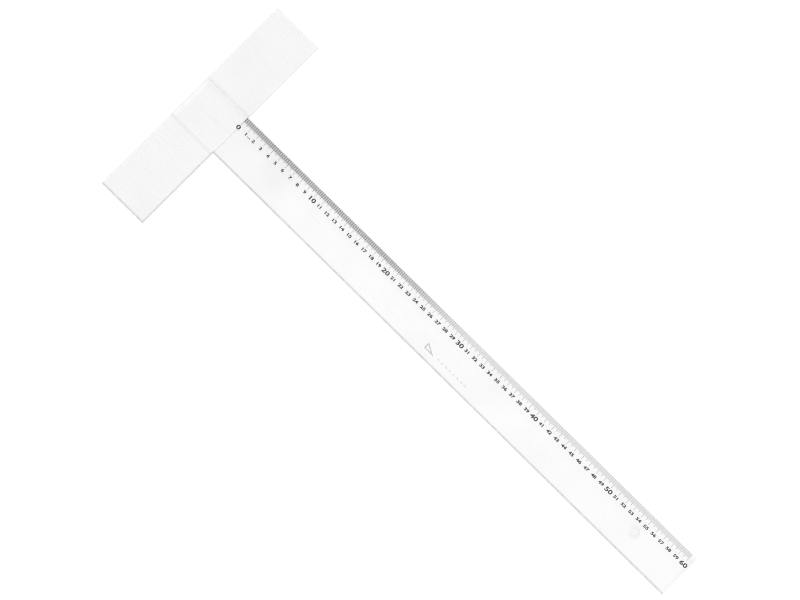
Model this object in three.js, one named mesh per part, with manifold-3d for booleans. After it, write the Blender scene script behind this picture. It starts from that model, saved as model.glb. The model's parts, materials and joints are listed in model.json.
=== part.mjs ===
// A 60 cm T square built up from clear acrylic sheet, in millimetres.
//
// X runs along the blade from the head towards the tip, Y runs along the head
// towards the scale edge, and Z is up from the surface that the head lies on.
// The origin is under the middle of the bounding box.

import * as THREE from "three";
import { mergeVertices } from "three/addons/utils/BufferGeometryUtils.js";
import Module from "manifold-3d";

const wasm = await Module();
wasm.setup();

// Driving dimensions.
const SHEET = 3; // thickness of the acrylic sheet that every piece is cut from
const BOND = 0.1; // film of cement between two bonded faces
const HEAD_LENGTH = 240;
const HEAD_WIDTH = 55;
const BLADE_WIDTH = 48;
const SCALE_LENGTH = 600; // from the head's guide edge to the last mark
const TIP_MARGIN = 6; // blade left beyond the last mark
const BEVEL_WIDTH = 5.5; // sloping face that brings the marks down to the paper
const BEVEL_EDGE = 1; // thickness left at the scale edge
const HOLE_DIAMETER = 10; // hanging hole
const HOLE_FROM_TIP = 60;
const SLOT_CLEARANCE = 0.25; // between the blade's edges and the head blocks
const CURVE_STEPS = 32; // straight steps in half a turn

// Places that follow from them.
const BLADE_LENGTH = HEAD_WIDTH + SCALE_LENGTH + TIP_MARGIN;
const HEAD_OUTER_X = -BLADE_LENGTH / 2;
const GUIDE_X = HEAD_OUTER_X + HEAD_WIDTH; // zero of the scale
const TIP_X = BLADE_LENGTH / 2;
const UPPER_LAYER_Z = SHEET + BOND; // underside of the blade and head blocks

const CLEAR_ACRYLIC = { roughness: 0.08, metalness: 0, transparent: true };

function acrylic(color, opacity) {
  return new THREE.MeshStandardMaterial({ ...CLEAR_ACRYLIC, color, opacity });
}

/** Outline of a rectangle with one corner at x, y. */
function rectangle(x, y, length, width) {
  const outline = new THREE.Shape();
  outline.moveTo(x, y);
  outline.lineTo(x + length, y);
  outline.lineTo(x + length, y + width);
  outline.lineTo(x, y + width);
  outline.closePath();
  return outline;
}

/** A piece sawn from the sheet: the outline, one sheet thick, standing on z = 0. */
function sheetPiece(outline) {
  return new THREE.ExtrudeGeometry(outline, {
    depth: SHEET,
    bevelEnabled: false,
    curveSegments: CURVE_STEPS,
  });
}

/** The closed solid of a geometry, its shared corners merged. */
function toSolid(geometry) {
  const bare = geometry.clone();
  bare.deleteAttribute("normal");
  bare.deleteAttribute("uv");
  const merged = mergeVertices(bare);
  return new wasm.Manifold(
    new wasm.Mesh({
      numProp: 3,
      vertProperties: new Float32Array(merged.attributes.position.array),
      triVerts: new Uint32Array(merged.index.array),
    }),
  );
}

/** The geometry of a solid, shaded flat. */
function toGeometry(solid) {
  const { numProp, vertProperties, triVerts } = solid.getMesh();
  const geometry = new THREE.BufferGeometry();
  geometry.setAttribute("position", new THREE.BufferAttribute(vertProperties, numProp));
  geometry.setIndex(new THREE.BufferAttribute(triVerts, 1));
  const facets = geometry.toNonIndexed();
  facets.computeVertexNormals();
  return facets;
}

/** The wedge that comes off the sheet above the sloping scale edge. */
function bevelCutter() {
  const overshoot = 1;
  const drop = SHEET - BEVEL_EDGE;
  const slope = drop / BEVEL_WIDTH;
  const edgeY = BLADE_WIDTH / 2;
  const section = new THREE.Shape();
  section.moveTo(edgeY - BEVEL_WIDTH, SHEET);
  section.lineTo(edgeY + overshoot, BEVEL_EDGE - overshoot * slope);
  section.lineTo(edgeY + overshoot, SHEET + overshoot);
  section.lineTo(edgeY - BEVEL_WIDTH, SHEET + overshoot);
  section.closePath();
  const wedge = new THREE.ExtrudeGeometry(section, {
    depth: BLADE_LENGTH + 2 * overshoot,
    bevelEnabled: false,
  });
  // The section's first axis becomes Y, its second Z, and the extrusion runs along X.
  wedge.applyMatrix4(
    new THREE.Matrix4().makeBasis(
      new THREE.Vector3(0, 1, 0),
      new THREE.Vector3(0, 0, 1),
      new THREE.Vector3(1, 0, 0),
    ),
  );
  wedge.translate(HEAD_OUTER_X - overshoot, 0, 0);
  return wedge;
}

/** The long blade: a sheet strip with the hanging hole and the sloping scale edge. */
function bladeGeometry() {
  const outline = rectangle(HEAD_OUTER_X, -BLADE_WIDTH / 2, BLADE_LENGTH, BLADE_WIDTH);
  const hole = new THREE.Path();
  hole.absarc(TIP_X - HOLE_FROM_TIP, 0, HOLE_DIAMETER / 2, 0, 2 * Math.PI, true);
  outline.holes.push(hole);
  const strip = toSolid(sheetPiece(outline));
  return toGeometry(strip.subtract(toSolid(bevelCutter())));
}

/** The full-length lower plate of the head, whose inner edge is the guide edge. */
function headBaseGeometry() {
  return sheetPiece(rectangle(HEAD_OUTER_X, -HEAD_LENGTH / 2, HEAD_WIDTH, HEAD_LENGTH));
}

/** One of the two upper blocks that close the slot on either side of the blade. */
function headBlockGeometry() {
  const slotHalf = BLADE_WIDTH / 2 + SLOT_CLEARANCE;
  const length = HEAD_LENGTH / 2 - slotHalf;
  return sheetPiece(rectangle(HEAD_OUTER_X, slotHalf, HEAD_WIDTH, length));
}

function piece(name, geometry, material, z) {
  const mesh = new THREE.Mesh(geometry, material);
  mesh.name = name;
  mesh.position.z = z;
  return mesh;
}

const bladeAcrylic = acrylic(0xf6f7f7, 0.35);
const headAcrylic = acrylic(0xf2f3f3, 0.4);

const headBasePlate = piece("head_base_plate", headBaseGeometry(), headAcrylic, 0);
const blade = piece("blade", bladeGeometry(), bladeAcrylic, UPPER_LAYER_Z);
const blockScaleSide = piece(
  "head_block_scale_side",
  headBlockGeometry(),
  headAcrylic,
  UPPER_LAYER_Z,
);
const blockPlainSide = piece(
  "head_block_plain_side",
  headBlockGeometry(),
  headAcrylic,
  UPPER_LAYER_Z,
);
blockPlainSide.rotation.z = Math.PI;
blockPlainSide.position.x = 2 * HEAD_OUTER_X + HEAD_WIDTH;

const group = new THREE.Group();
group.add(headBasePlate, blade, blockScaleSide, blockPlainSide);

export default group;
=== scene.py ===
"""Looks of a clear acrylic T square: polished sheet, cement, a printed centimetre scale, a pale table."""

import json
import math
import random

import bmesh
import bpy
from mathutils import Matrix, Vector


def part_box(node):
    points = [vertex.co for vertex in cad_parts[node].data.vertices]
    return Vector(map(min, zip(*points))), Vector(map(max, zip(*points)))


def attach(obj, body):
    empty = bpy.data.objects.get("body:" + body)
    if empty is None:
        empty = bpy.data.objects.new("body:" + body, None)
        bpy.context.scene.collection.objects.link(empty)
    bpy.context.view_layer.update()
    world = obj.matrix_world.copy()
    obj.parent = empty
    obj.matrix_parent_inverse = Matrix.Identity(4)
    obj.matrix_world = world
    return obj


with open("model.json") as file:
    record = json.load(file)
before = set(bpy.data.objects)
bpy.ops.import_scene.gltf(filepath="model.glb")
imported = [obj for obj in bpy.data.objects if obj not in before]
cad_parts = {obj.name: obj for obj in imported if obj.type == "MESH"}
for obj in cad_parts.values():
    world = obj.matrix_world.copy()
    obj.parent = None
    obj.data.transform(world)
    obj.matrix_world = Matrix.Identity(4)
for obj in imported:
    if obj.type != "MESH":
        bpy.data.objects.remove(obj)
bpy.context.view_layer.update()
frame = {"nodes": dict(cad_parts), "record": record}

MM = 0.001

# Places, read from the frame.
BASE_LOW, BASE_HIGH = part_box("head_base_plate")
BLADE_LOW, BLADE_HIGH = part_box("blade")
BLOCK_LOW, BLOCK_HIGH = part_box("head_block_scale_side")
GUIDE_X = BASE_HIGH.x  # the zero of the scale is on the head's guide edge
OUTER_X = BASE_LOW.x
SCALE_EDGE_Y = BLADE_HIGH.y
PLAIN_EDGE_Y = BLADE_LOW.y
HOLE_LOW, HOLE_HIGH = [Vector(corner) for corner in frame["record"]["physics"]["openings"][0]["box_m"]]
HOLE_CENTRE = (HOLE_LOW + HOLE_HIGH) / 2
HOLE_RADIUS = 5 * MM  # the hanging hole

# The printed scale, measured from the scale edge.
SCALE_MM = 600
MARK_START = 0.1 * MM
MARK_END = 5.45 * MM  # every mark runs this far, at full width
MARK_WIDTH = 0.54 * MM
TAIL_ENDS = {5: 7.5 * MM, 10: 9.3 * MM}  # a longer mark goes on as a finer line
TAIL_WIDTH = 0.26 * MM
NUMERAL_CENTRE = 12.5 * MM
NUMERAL_HEIGHT = 3.0 * MM
DECADE_HEIGHT = 4.4 * MM
UNIT_HEIGHT = 1.7 * MM
UNIT_PLACE = 14.4 * MM  # middle of the unit, between the figures 1 and 2
NUMERAL_SPREAD = 0.18 * MM  # the strokes are this much bolder than the font's, all round
DECADE_SPREAD = 0.2 * MM
UNIT_SPREAD = 0.05 * MM
MAKER_PLACE = (GUIDE_X + 277.5 * MM, PLAIN_EDGE_Y + 9 * MM)  # corner of the maker's sign
INK_GAP = 0.01 * MM  # between the ink and the blade's underside
INK_THICKNESS = 0.02 * MM
INK_TOP = BLADE_LOW.z - INK_GAP
FIGURE_PER_EM = 0.729  # height of a figure in the built-in font, in ems
FIGURE_STRETCH = 1.45  # the scale's figures are this much wider than the font's
INK_SHADE_FROM = GUIDE_X + 130 * MM  # from here to the next place the marks' ink thins: painted shade, deeper on the marks near the head
INK_SHADE_TO = GUIDE_X + 320 * MM

# Cement between the layers of the head.
FILM_GAP = 0.01 * MM
FILM_THICKNESS = 0.04 * MM
FILM_LOW = BASE_HIGH.z + FILM_GAP
DRY_EDGE = 4.5 * MM  # strip under the blade, at the outer edge, that the cement didn't reach

BEVEL_WIDTH = 5.5 * MM  # the sloping scale edge
BEVEL_RISE = 2.0 * MM
BEVEL_EDGE = 1.0 * MM  # thickness left at the scale edge
WALL_PASSES = 0.99  # share of the light that a sawn wall lets through
HOLE_WALL_PASSES = 0.85  # the same for the drilled hole's wall
HOLE_SHADE = 0.9  # painted shade: tone of the table inside the hole, against the rest
WELD = 0.001 * MM  # corners of a mesh that are closer than this are one corner
EDGE_BREAK = 0.05 * MM  # the sharp corners of the sheet are scraped this much
SHADOW_DEPTH = 0.1  # share of the light that full ink keeps from the table under the blade
ACRYLIC_IOR = 1.491
FACE_LOSS = 0.0095  # light that each face of the sheet keeps back
SCRATCH_LOSS = 0.02  # the same along a fine scratch
DULLING_AND_HEAD_SHADE = (0.039, 0.018)  # the same for the blade's dulling, beside the head and away from it; the extra beside the head is painted shade
HEAD_SHADE_FADES = (GUIDE_X + 45 * MM, GUIDE_X + 110 * MM)  # the painted shade beside the head fades between these places

# The view: a long lens, nearly straight down, from a little towards the plain edge.
PICTURE_WIDTH = 768.6 * MM
VIEW_DISTANCE = 5.0
VIEW_TILT = math.radians(6.85)
BLADE_HEADING = math.radians(44.7)
VIEW_TARGET = Vector((-0.0464, 0.0013, BLADE_HIGH.z))
SENSOR_MM = 36.0

# Two broad soft lights: the way their rays run, and their strengths.
KEY_LIGHT = (Vector((0.11, -0.36, -0.93)), 2.4)
FILL_LIGHT = (Vector((-0.45, 0.45, -0.77)), 2.0)
LIGHT_SPREAD = math.radians(24)
TENT_STRENGTH = 1.0  # the white tent that the clear sheet mirrors


def add_camera():
    across = Vector((math.cos(BLADE_HEADING), math.sin(BLADE_HEADING), 0))
    up_flat = Vector((-math.sin(BLADE_HEADING), math.cos(BLADE_HEADING), 0))
    back = Vector((0, 0, 1)) * math.cos(VIEW_TILT) - up_flat * math.sin(VIEW_TILT)
    up = back.cross(across)
    data = bpy.data.cameras.new("camera")
    data.sensor_width = SENSOR_MM
    data.lens = SENSOR_MM * VIEW_DISTANCE / PICTURE_WIDTH
    data.clip_end = 100.0
    camera = bpy.data.objects.new("camera", data)
    turn = Matrix((across, up, back)).transposed().to_4x4()
    camera.matrix_world = Matrix.Translation(VIEW_TARGET + back * VIEW_DISTANCE) @ turn
    bpy.context.scene.collection.objects.link(camera)
    bpy.context.scene.camera = camera


# Materials.


class Nodes:
    """A material's node tree, with short calls to add and join nodes."""

    def __init__(self, name):
        self.material = bpy.data.materials.new(name)
        self.material.use_nodes = True
        self.tree = self.material.node_tree
        self.tree.nodes.clear()
        self.output = self.tree.nodes.new("ShaderNodeOutputMaterial")

    def put(self, value, socket):
        """Joins an output to a socket, or gives the socket a plain value."""
        if isinstance(value, bpy.types.NodeSocket):
            self.tree.links.new(value, socket)
        else:
            socket.default_value = value

    def add(self, kind, settings=None, **inputs):
        node = self.tree.nodes.new(kind)
        for key, value in (settings or {}).items():
            setattr(node, key, value)
        for key, value in inputs.items():
            self.put(value, node.inputs[key.replace("_", " ")])
        return node

    def math(self, operation, *values):
        node = self.add("ShaderNodeMath", {"operation": operation})
        for socket, value in zip(node.inputs, values):
            self.put(value, socket)
        return node.outputs[0]

    def mix(self, share, first, second):
        """A shader mix: share of the second, the rest of the first."""
        node = self.add("ShaderNodeMixShader")
        for socket, value in zip(node.inputs, (share, first, second)):
            self.put(value, socket)
        return node.outputs[0]

    def ramp(self, value, start, end, at_start, at_end):
        """A smooth step from at_start to at_end while the value goes from start to end."""
        node = self.add("ShaderNodeMapRange", {"interpolation_type": "SMOOTHSTEP"}, Value=value)
        node.inputs["From Min"].default_value = start
        node.inputs["From Max"].default_value = end
        node.inputs["To Min"].default_value = at_start
        node.inputs["To Max"].default_value = at_end
        return node.outputs["Result"]

    def tone(self, value):
        """A grey of the given brightness."""
        return self.add("ShaderNodeCombineColor", Red=value, Green=value, Blue=value).outputs[0]

    def noise(self, place, scale, detail=3.0):
        node = self.add("ShaderNodeTexNoise", Vector=place, Scale=scale, Detail=detail)
        return node.outputs["Fac"]

    def axes(self, vector):
        parts = self.add("ShaderNodeSeparateXYZ", Vector=vector).outputs
        return parts["X"], parts["Y"], parts["Z"]

    def surface(self, socket):
        self.tree.links.new(socket, self.output.inputs["Surface"])


def grey(value):
    return (value, value, value, 1)


def scratches(n, place, turn, fineness):
    """1 along sparse fine straight lines that run one way, 0 between them."""
    cells = n.add("ShaderNodeMapping", Vector=place)
    cells.inputs["Rotation"].default_value = (0, 0, math.radians(turn))
    cells.inputs["Scale"].default_value = (14, 14 * fineness, 14)
    to_edge = {"feature": "DISTANCE_TO_EDGE"}
    lines = n.add("ShaderNodeTexVoronoi", to_edge, Vector=cells.outputs[0], Scale=1.0)
    return n.math("LESS_THAN", lines.outputs["Distance"], 0.012)


def distance_from(n, x, y, centre_x, centre_y):
    """Level distance of the place x, y from a centre."""
    across_x = n.math("SUBTRACT", x, centre_x)
    across_y = n.math("SUBTRACT", y, centre_y)
    square_x = n.math("MULTIPLY", across_x, across_x)
    square_y = n.math("MULTIPLY", across_y, across_y)
    return n.math("SQRT", n.math("ADD", square_x, square_y))


def dark_line(n, along, middle, reach):
    """1 where the coordinate is at the middle, falling to 0 a reach away."""
    distance = n.math("ABSOLUTE", n.math("SUBTRACT", along, middle))
    return n.math("MAXIMUM", n.math("SUBTRACT", 1.0, n.math("DIVIDE", distance, reach)), 0.0)


def clear_acrylic(name, lines=(), lines_from=OUTER_X):
    """Polished sheet: clear through its faces and frosted on the outside of its sawn walls.

    lines lists the dark lines of painted shade on its faces, patchy along their length: (axis, middle,
    reach, strength).
    """
    n = Nodes(name)
    coordinates = n.add("ShaderNodeTexCoord")
    place = coordinates.outputs["Object"]
    x, y, _ = n.axes(place)

    # Dulling on the blade, patchy everywhere and finely scratched, with painted shade that makes it darker
    # beside the head.
    outside = n.math("GREATER_THAN", x, GUIDE_X)
    dulling_with_head_shade = n.math("MULTIPLY", outside, n.ramp(x, *HEAD_SHADE_FADES, *DULLING_AND_HEAD_SHADE))
    patches = n.ramp(n.noise(place, 22), 0.35, 0.7, 0.75, 1.25)
    fine = n.math("MAXIMUM", scratches(n, place, 24, 60), scratches(n, place, -57, 45))
    dulled_and_shaded = n.math("MULTIPLY", n.math("ADD", dulling_with_head_shade, FACE_LOSS), patches)
    loss = n.math("ADD", dulled_and_shaded, n.math("MULTIPLY", fine, SCRATCH_LOSS))
    # The lines below are painted shade at edges, seams and the slope, made patchy along their length.
    line_patchiness = n.ramp(n.noise(place, 240), 0.35, 0.65, 0.75, 1.25)
    for axis, middle, reach, strength in lines:
        line = n.math("MULTIPLY", dark_line(n, {"X": x, "Y": y}[axis], middle, reach), line_patchiness)
        line = n.math("MULTIPLY", line, n.math("GREATER_THAN", x, lines_from))
        loss = n.math("ADD", loss, n.math("MULTIPLY", line, strength))
    kept = n.math("SUBTRACT", 1.0, loss)

    relief = n.add("ShaderNodeBump", Strength=0.2, Distance=2e-7, Height=fine)
    glass = n.add("ShaderNodeBsdfGlass", Color=n.tone(kept), Roughness=0.0, IOR=ACRYLIC_IOR)
    n.put(relief.outputs[0], glass.inputs["Normal"])
    passed = n.add("ShaderNodeBsdfTransparent", Color=grey(0.996))
    path = n.add("ShaderNodeLightPath").outputs
    soft_ray = n.math("MAXIMUM", path["Is Shadow Ray"], path["Is Diffuse Ray"])
    face = n.mix(soft_ray, glass.outputs[0], passed.outputs[0])

    # Walls: matt outside, with the saw's fine upright lines, and mirror-like from within the sheet.
    # The drilled hole's wall holds more light back than the others.
    saw = n.noise(n.add("ShaderNodeMapping", Vector=place, Scale=(900, 900, 40)).outputs[0], 1.0)
    grain = n.add("ShaderNodeBump", Strength=0.5, Distance=2e-5, Height=saw)
    frost = n.add("ShaderNodeBsdfDiffuse", Color=grey(0.97), Normal=grain.outputs[0])
    from_hole = distance_from(n, x, y, HOLE_CENTRE.x, HOLE_CENTRE.y)
    shade = n.ramp(from_hole, HOLE_RADIUS + 1 * MM, HOLE_RADIUS + 2 * MM, HOLE_WALL_PASSES, WALL_PASSES)
    shaded = n.add("ShaderNodeBsdfTransparent", Color=n.tone(shade))
    _, _, normal_z = n.axes(coordinates.outputs["Normal"])
    within = n.add("ShaderNodeNewGeometry").outputs["Backfacing"]
    wall = n.mix(soft_ray, n.mix(within, frost.outputs[0], glass.outputs[0]), shaded.outputs[0])
    n.surface(n.mix(n.math("LESS_THAN", n.math("ABSOLUTE", normal_z), 0.2), face, wall))
    return n.material


def cement(name, passes, cloud):
    """Set cement: it lets light straight through, with a little dulling and cloudy patches."""
    n = Nodes(name)
    place = n.add("ShaderNodeTexCoord").outputs["Object"]
    through = n.add("ShaderNodeBsdfTransparent", Color=grey(passes))
    body = n.add("ShaderNodeBsdfPrincipled", Base_Color=grey(0.75), Roughness=0.35)
    patches = n.ramp(n.noise(place, 60, 5.0), 0.4, 0.7, 0.4 * cloud, 1.6 * cloud)
    n.surface(n.mix(patches, through.outputs[0], body.outputs["BSDF"]))
    return n.material


def printed_ink(name, shade, cover_at_head=1.0, cover_at_tip=1.0):
    """Screen-printed ink. Its cover goes from cover_at_head to cover_at_tip; where it thins towards the
    tip, that is painted shade, deeper on the marks near the head.

    Light that scatters under the blade lifts its shadow.
    """
    n = Nodes(name)
    place = n.add("ShaderNodeTexCoord").outputs["Object"]
    x, _, _ = n.axes(place)
    speckle = n.noise(place, 2500, 2.0)
    tone = n.tone(n.ramp(speckle, 0.3, 0.7, shade * 0.7, shade * 1.5))
    body = n.add("ShaderNodeBsdfPrincipled", Base_Color=tone, Roughness=0.45)
    # Where the cover falls towards the tip, it paints the shade that is deeper on the marks near the head.
    cover = n.ramp(x, INK_SHADE_FROM, INK_SHADE_TO, cover_at_head, cover_at_tip)
    bare = n.add("ShaderNodeBsdfTransparent")
    seen = n.mix(cover, bare.outputs[0], body.outputs["BSDF"])
    passes = n.math("SUBTRACT", 1.0, n.math("MULTIPLY", cover, SHADOW_DEPTH))
    shadow = n.add("ShaderNodeBsdfTransparent", Color=n.tone(passes))
    n.surface(n.mix(n.add("ShaderNodeLightPath").outputs["Is Shadow Ray"], seen, shadow.outputs[0]))
    return n.material


def table_top():
    """Pale matte card with a faint pebble grain, and a little painted shade inside the hanging hole."""
    n = Nodes("table_top")
    place = n.add("ShaderNodeTexCoord").outputs["Object"]
    x, y, _ = n.axes(place)
    from_hole = distance_from(n, x, y, HOLE_CENTRE.x - GUIDE_X, HOLE_CENTRE.y)
    # Painted shade on the table inside the hanging hole.
    hole_shade = n.ramp(from_hole, HOLE_RADIUS - 1.2 * MM, HOLE_RADIUS + 0.4 * MM, HOLE_SHADE, 1.0)
    tone = n.math("MULTIPLY", n.ramp(n.noise(place, 9, 4.0), 0.3, 0.7, 0.855, 0.87), hole_shade)
    grain = n.add("ShaderNodeBump", Strength=0.05, Distance=5e-5, Height=n.noise(place, 1500, 2.0))
    body = n.add("ShaderNodeBsdfDiffuse", Color=n.tone(tone), Normal=grain.outputs[0])
    # Seen from below, the table is left out, so that the square's underside can be looked at.
    below = n.add("ShaderNodeNewGeometry").outputs["Backfacing"]
    n.surface(n.mix(below, body.outputs["BSDF"], n.add("ShaderNodeBsdfTransparent").outputs[0]))
    return n.material


# Pieces.


def finish_piece(name, builder, material):
    mesh = bpy.data.meshes.new(name)
    bmesh.ops.recalc_face_normals(builder, faces=builder.faces)
    builder.to_mesh(mesh)
    builder.free()
    mesh.materials.append(material)
    piece = bpy.data.objects.new(name, mesh)
    bpy.context.scene.collection.objects.link(piece)
    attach(piece, "root")
    return piece


def add_prism(builder, outline, low, high, place=lambda x, y, z: (x, y, z)):
    """Adds a closed solid: the outline's points, from low to high along the third axis."""
    bottom = [builder.verts.new(place(x, y, low)) for x, y in outline]
    top = [builder.verts.new(place(x, y, high)) for x, y in outline]
    builder.faces.new(bottom)
    builder.faces.new(top)
    for i in range(len(outline)):
        j = (i + 1) % len(outline)
        builder.faces.new((bottom[i], bottom[j], top[j], top[i]))


def add_slab(builder, x_low, x_high, y_low, y_high, low, high):
    corners = [(x_low, y_low), (x_high, y_low), (x_high, y_high), (x_low, y_high)]
    add_prism(builder, corners, low, high)


def add_ink_line(builder, x, width, start, end):
    """A printed line across the blade, its start and end measured from the scale edge."""
    y_low, y_high = SCALE_EDGE_Y - end, SCALE_EDGE_Y - start
    add_slab(builder, x - width / 2, x + width / 2, y_low, y_high, INK_TOP - INK_THICKNESS, INK_TOP)


def add_marks(material):
    """The millimetre marks, side by side on the sloping edge."""
    builder = bmesh.new()
    for at in range(SCALE_MM + 1):
        add_ink_line(builder, GUIDE_X + at * MM, MARK_WIDTH, MARK_START, MARK_END)
    finish_piece("scale_marks", builder, material)


def add_mark_tails(material):
    """The fine lines that carry every fifth and tenth mark on to the flat of the blade."""
    builder = bmesh.new()
    for at in range(0, SCALE_MM + 1, 5):
        end = TAIL_ENDS[10] if at % 10 == 0 else TAIL_ENDS[5]
        add_ink_line(builder, GUIDE_X + at * MM, TAIL_WIDTH, MARK_END + INK_GAP, end)
    finish_piece("scale_mark_tails", builder, material)


def add_text(builder, words, height, spread, x, y):
    """Adds flat figures of the given height, centred on x and standing on y, as thin closed solids."""
    curve = bpy.data.curves.new("text", "FONT")
    curve.body = words
    curve.align_x = "CENTER"
    curve.size = height / FIGURE_PER_EM
    curve.offset = spread
    curve.extrude = INK_THICKNESS / 2
    curve.resolution_u = 3  # a finer outline folds over itself when it is spread
    thing = bpy.data.objects.new("text", curve)
    bpy.context.scene.collection.objects.link(thing)
    thing.location = (x, y, INK_TOP - INK_THICKNESS / 2)
    thing.scale.x = FIGURE_STRETCH
    bpy.context.view_layer.update()
    mesh = bpy.data.meshes.new_from_object(thing.evaluated_get(bpy.context.evaluated_depsgraph_get()))
    mesh.transform(thing.matrix_world)
    builder.from_mesh(mesh)
    bpy.data.objects.remove(thing)
    bpy.data.curves.remove(curve)
    bpy.data.meshes.remove(mesh)


def add_numerals(material):
    builder = bmesh.new()
    for cm in range(SCALE_MM // 10 + 1):
        decade = cm % 10 == 0
        height = DECADE_HEIGHT if decade else NUMERAL_HEIGHT
        spread = DECADE_SPREAD if decade else NUMERAL_SPREAD
        x = GUIDE_X + cm * 10 * MM
        add_text(builder, str(cm), height, spread, x, SCALE_EDGE_Y - NUMERAL_CENTRE - height / 2)
    unit_y = SCALE_EDGE_Y - NUMERAL_CENTRE - NUMERAL_HEIGHT / 2
    add_text(builder, "cm", UNIT_HEIGHT, UNIT_SPREAD, GUIDE_X + UNIT_PLACE, unit_y)
    bmesh.ops.remove_doubles(builder, verts=builder.verts, dist=WELD)
    bmesh.ops.dissolve_degenerate(builder, edges=builder.edges, dist=WELD)
    finish_piece("scale_numerals", builder, material)


def add_ring(builder, outer, inner, low, high):
    """Adds a closed solid between two outlines of as many points."""
    outer_low, inner_low, outer_high, inner_high = [
        [builder.verts.new((x, y, z)) for x, y in outline]
        for z in (low, high)
        for outline in (outer, inner)
    ]
    for first, second in (
        (outer_low, inner_low),
        (outer_high, inner_high),
        (outer_low, outer_high),
        (inner_low, inner_high),
    ):
        for i in range(len(outer)):
            j = (i + 1) % len(outer)
            builder.faces.new((first[i], first[j], second[j], second[i]))


def add_maker_sign(material):
    """A plain set-square sign, where such squares carry the maker's print."""
    builder = bmesh.new()
    x, y = MAKER_PLACE
    height = 7 * MM
    outer = [(0, 0), (1.8, 0), (0, 1)]
    inner = [(0.2, 0.16), (1.15, 0.16), (0.2, 0.69)]
    outer, inner = [[(x + u * height, y + v * height) for u, v in loop] for loop in (outer, inner)]
    add_ring(builder, outer, inner, INK_TOP - INK_THICKNESS, INK_TOP)
    finish_piece("maker_sign", builder, material)


def add_maker_dashes(material):
    """A row of plain double dashes in place of the small print beside the sign."""
    builder = bmesh.new()
    x, y = MAKER_PLACE
    for dash in range(8):
        start = x + (17 + 5.1 * dash) * MM
        for indent, rise in ((0, 0.4 * MM), (0.6 * MM, 1.7 * MM)):
            low_y = y + rise
            add_slab(
                builder,
                start + indent,
                start + 3.2 * MM - 2 * indent,
                low_y,
                low_y + 0.6 * MM,
                INK_TOP - INK_THICKNESS,
                INK_TOP,
            )
    finish_piece("maker_dashes", builder, material)


def wavy_edge(x, y_from, y_to, wander, draw):
    """Points up a line of constant x that strays a little either way."""
    steps = 24
    return [
        (x + draw.uniform(-wander, wander), y_from + (y_to - y_from) * i / steps) for i in range(steps + 1)
    ]


def add_cement_films(material):
    """The thin films that hold the blade and the two head blocks to the base plate."""
    draw = random.Random(4)
    inset = 0.8 * MM
    blade_film = (PLAIN_EDGE_Y + inset, SCALE_EDGE_Y - inset, DRY_EDGE)
    scale_block_film = (BLOCK_LOW.y + inset, BLOCK_HIGH.y - inset, inset)
    plain_block_film = (-BLOCK_HIGH.y + inset, -BLOCK_LOW.y - inset, inset)
    builder = bmesh.new()
    for y_low, y_high, dry in (blade_film, scale_block_film, plain_block_film):
        outline = [(GUIDE_X - inset, y_high), (GUIDE_X - inset, y_low)]
        outline += wavy_edge(OUTER_X + dry, y_low, y_high, 0.3 * MM, draw)
        add_prism(builder, outline, FILM_LOW, FILM_LOW + FILM_THICKNESS)
    finish_piece("cement_films", builder, material)


def add_groove_cement(material):
    """Cement pooled in the groove that the sloping scale edge leaves inside the head."""
    clear = 0.03 * MM
    slope = BEVEL_RISE / BEVEL_WIDTH
    wall_y = BLOCK_LOW.y - clear
    pool = 3.4 * MM
    bed = BLADE_LOW.z + BEVEL_EDGE + clear
    outline = [
        (SCALE_EDGE_Y + clear, bed - 0.6 * MM),
        (wall_y, bed - 0.6 * MM),
        (wall_y, bed + 1.1 * MM),
        (SCALE_EDGE_Y - 0.3 * pool, bed + 0.3 * pool * slope + 0.35 * MM),
        (SCALE_EDGE_Y - pool, bed + pool * slope + 0.04 * MM),
        (SCALE_EDGE_Y - pool, bed + pool * slope),
        (SCALE_EDGE_Y + clear, bed),
    ]
    builder = bmesh.new()
    add_prism(builder, outline, OUTER_X + 0.4 * MM, GUIDE_X - 0.4 * MM, lambda y, z, x: (x, y, z))
    finish_piece("cement_in_groove", builder, material)


def break_edges(node):
    """Scrapes the sharp corners off a sheet piece."""
    weld = node.modifiers.new("weld", "WELD")
    weld.merge_threshold = WELD
    bevel = node.modifiers.new("edge_break", "BEVEL")
    bevel.width = EDGE_BREAK
    bevel.segments = 2
    bevel.limit_method = "ANGLE"
    bevel.angle_limit = math.radians(30)


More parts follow.
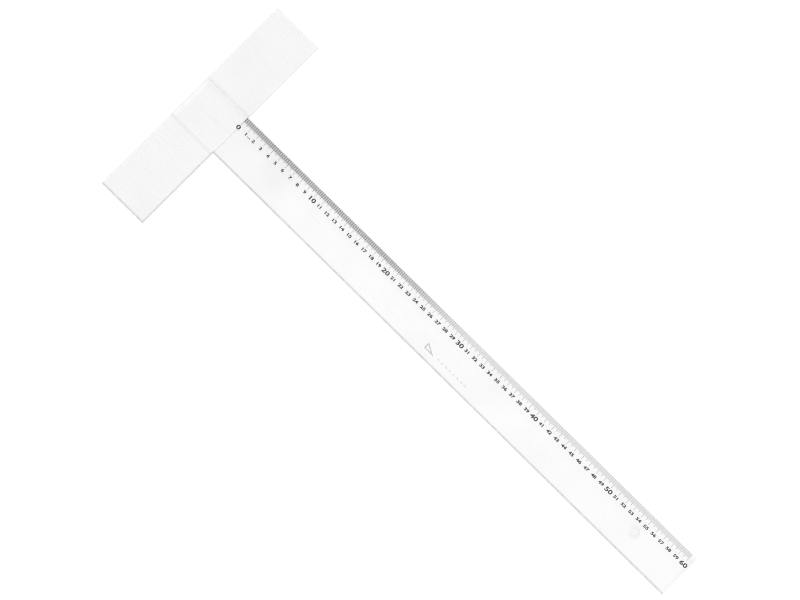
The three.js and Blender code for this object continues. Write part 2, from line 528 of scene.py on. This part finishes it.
def dress_frame():
    """Gives each sheet piece its acrylic, with dark lines of painted shade along its edges, its seams and
    the top of its slope.
    """
    ridge_y = SCALE_EDGE_Y - BEVEL_WIDTH
    # Painted shade: dark lines where shade falls at the blade's edges, over the guide edge, at the top of
    # the slope and beside the printed scale.
    blade_shade_lines = [
        ("Y", PLAIN_EDGE_Y + 0.9 * MM, 1.7 * MM, 0.155),  # the plain edge
        ("X", GUIDE_X + 0.3 * MM, 1.4 * MM, 0.015),  # over the guide edge
        ("X", BLADE_HIGH.x - 1 * MM, 3 * MM, 0.018),  # the tip
        ("Y", ridge_y - 0.4 * MM, 0.8 * MM, 0.03),  # the top of the slope
        # painted shadow of the printed scale, on the flat beside it
        ("Y", ridge_y - 5 * MM, 11 * MM, 0.016),
    ]
    scale_block_shade_lines = [("Y", BLOCK_LOW.y + 0.5 * MM, 3.5 * MM, 0.04)]  # painted shade beside the blade
    # Painted shade along the plain block's inner edge, its end and the seam beside the blade.
    plain_block_shade_lines = [
        ("X", GUIDE_X - 0.2 * MM, 1.7 * MM, 0.16),  # the inner edge
        ("Y", BASE_LOW.y + 0.8 * MM, 1.5 * MM, 0.14),  # the end
        ("Y", -BLOCK_LOW.y - 1.2 * MM, 2.2 * MM, 0.035),  # beside the blade
    ]
    looks = {
        "blade": clear_acrylic("blade_acrylic", blade_shade_lines, GUIDE_X - 1 * MM),
        "head_base_plate": clear_acrylic("base_acrylic"),
        "head_block_scale_side": clear_acrylic("scale_block_acrylic", scale_block_shade_lines),
        "head_block_plain_side": clear_acrylic("plain_block_acrylic", plain_block_shade_lines),
    }
    for name, node in frame["nodes"].items():
        node.data.materials.clear()
        node.data.materials.append(looks[name])
        break_edges(node)


# Surroundings.


def add_floor():
    """The square lies on the head's inner bottom edge and the tip of the blade, so the table leans."""
    lean = math.atan2(BLADE_LOW.z, BLADE_HIGH.x - GUIDE_X)
    mesh = bpy.data.meshes.new("table")
    builder = bmesh.new()
    bmesh.ops.create_grid(builder, x_segments=1, y_segments=1, size=20.0)
    builder.to_mesh(mesh)
    builder.free()
    mesh.materials.append(table_top())
    table = bpy.data.objects.new("table", mesh)
    table.location = (GUIDE_X, 0, -0.02 * MM)
    table.rotation_euler = (0, -lean, 0)
    bpy.context.scene.collection.objects.link(table)


def add_soft_light(name, travel, strength):
    """A broad soft light. The polished faces mirror the tent, not the lamp."""
    data = bpy.data.lights.new(name, "SUN")
    data.energy = strength
    data.angle = LIGHT_SPREAD
    light = bpy.data.objects.new(name, data)
    light.rotation_euler = travel.to_track_quat("-Z", "Y").to_euler()
    light.visible_glossy = False
    light.visible_transmission = False
    bpy.context.scene.collection.objects.link(light)


def add_tent():
    """A plain white studio tent all round."""
    world = bpy.data.worlds.new("tent")
    world.use_nodes = True
    tree = world.node_tree
    background = tree.nodes["Background"]
    background.inputs["Color"].default_value = grey(1.0)
    background.inputs["Strength"].default_value = TENT_STRENGTH
    bpy.context.scene.world = world
    world.cycles_visibility.diffuse = False


def set_picture():
    """Plain tones and crisp fine marks, with enough bounces for the layers of clear sheet."""
    scene = bpy.context.scene
    scene.view_settings.view_transform = "Standard"
    scene.cycles.use_denoising = False  # the denoiser wipes the millimetre marks out
    scene.cycles.pixel_filter_type = "BLACKMAN_HARRIS"
    scene.cycles.filter_width = 1.0
    scene.cycles.transparent_max_bounces = 32  # a ray through the head crosses a dozen faces
    scene.cycles.transmission_bounces = 24
    scene.cycles.max_bounces = 24
    scene.cycles.min_light_bounces = 16  # no path through the clear sheet is cut short at random
    scene.cycles.min_transparent_bounces = 16


set_picture()
add_camera()
add_tent()
add_floor()
add_soft_light("key", *KEY_LIGHT)
add_soft_light("fill", *FILL_LIGHT)
dress_frame()
# The marks' cover thinning towards the tip is painted shade.
add_marks(printed_ink("mark_ink", shade=0.02, cover_at_head=1.0, cover_at_tip=0.25))
add_mark_tails(printed_ink("tail_ink", shade=0.02))
add_numerals(printed_ink("numeral_ink", shade=0.02))
add_maker_sign(printed_ink("sign_ink", shade=0.2, cover_at_head=0.3, cover_at_tip=0.3))
add_maker_dashes(printed_ink("dash_ink", shade=0.3, cover_at_head=0.3, cover_at_tip=0.3))
add_cement_films(cement("film_cement", passes=0.988, cloud=0.004))
add_groove_cement(cement("groove_cement", passes=0.99, cloud=0.008))
